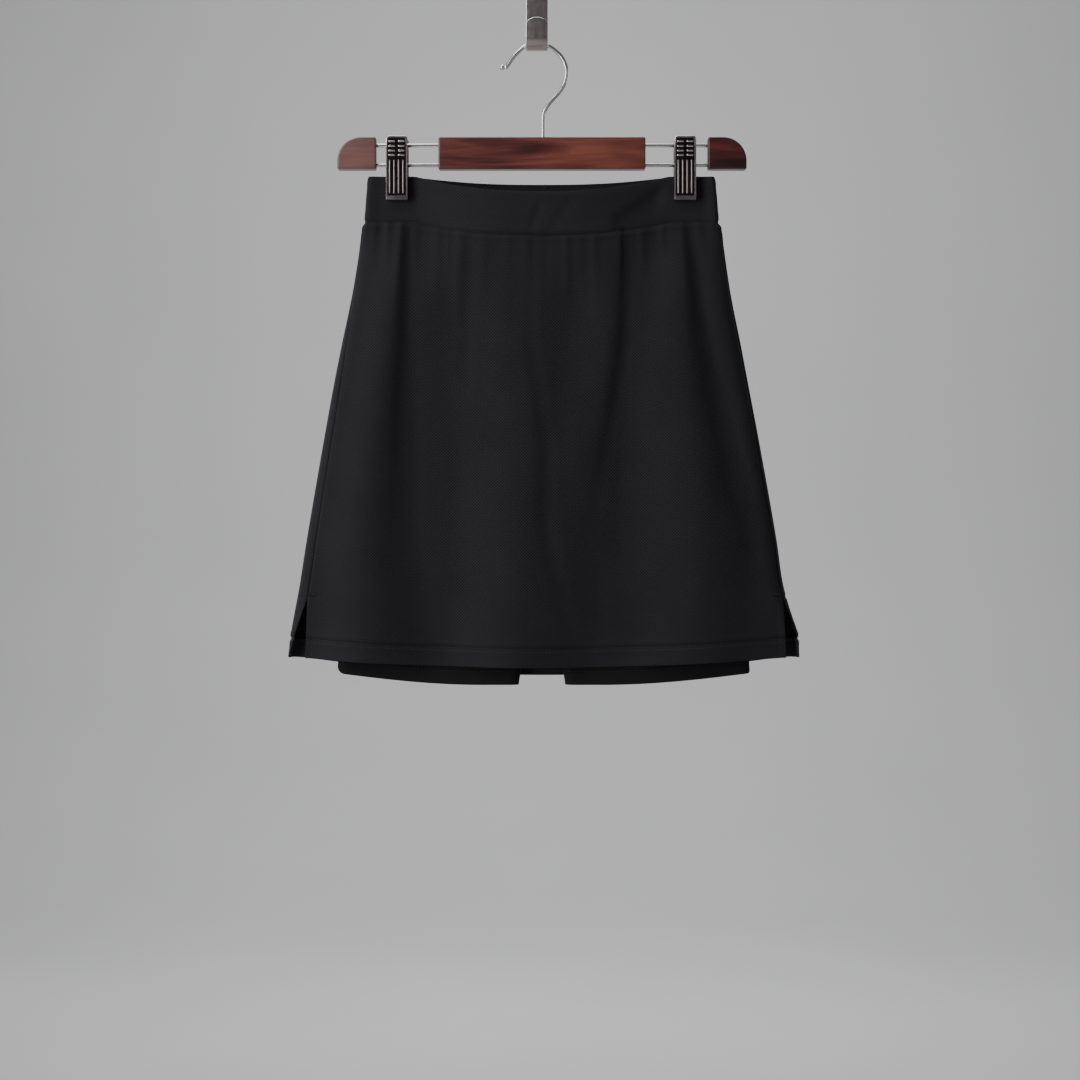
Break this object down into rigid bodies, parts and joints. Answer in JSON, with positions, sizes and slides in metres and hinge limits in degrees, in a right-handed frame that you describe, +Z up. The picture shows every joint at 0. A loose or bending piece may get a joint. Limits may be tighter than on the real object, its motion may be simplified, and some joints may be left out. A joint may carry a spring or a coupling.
{
  "type": "skort on a hanger",
  "caption": "Flared knit sports skirt over built-in shorts, clipped by its waistband to a wooden hanger on a bent steel wall hook.",
  "frame": {"origin": "the middle of the wall plate's back face, where the part is fastened to a wall", "axes": "+Z up, +X to the viewer's right, -Y out of the wall, towards the viewer"},
  "size_m": [0.4381, 0.0329, 0.6146],
  "materials": {
    "skirt_knit": "matte charcoal birdseye knit",
    "band_knit": "matte charcoal double knit",
    "shorts_knit": "smooth black stretch knit",
    "wood": "reddish brown stain under satin varnish",
    "chrome": "polished",
    "clip_metal": "satin nickel",
    "steel": "brushed"
  },
  "bodies": {
    "root": {"wall_hook": "steel", "hanger_hook": "chrome", "rail_upper": "chrome", "rail_lower": "chrome", "hanger_bar": "wood", "hanger_end_left": "wood", "hanger_end_right": "wood", "clip_left_slider": "clip_metal", "clip_left_jaw_front": "clip_metal", "clip_left_jaw_back": "clip_metal", "clip_right_slider": "clip_metal", "clip_right_jaw_front": "clip_metal", "clip_right_jaw_back": "clip_metal", "waistband": "band_knit", "skirt_front": "skirt_knit", "skirt_back": "skirt_knit", "shorts_front_left": "shorts_knit", "shorts_front_right": "shorts_knit", "shorts_back_left": "shorts_knit", "shorts_back_right": "shorts_knit"}
  },
  "joints": []
}
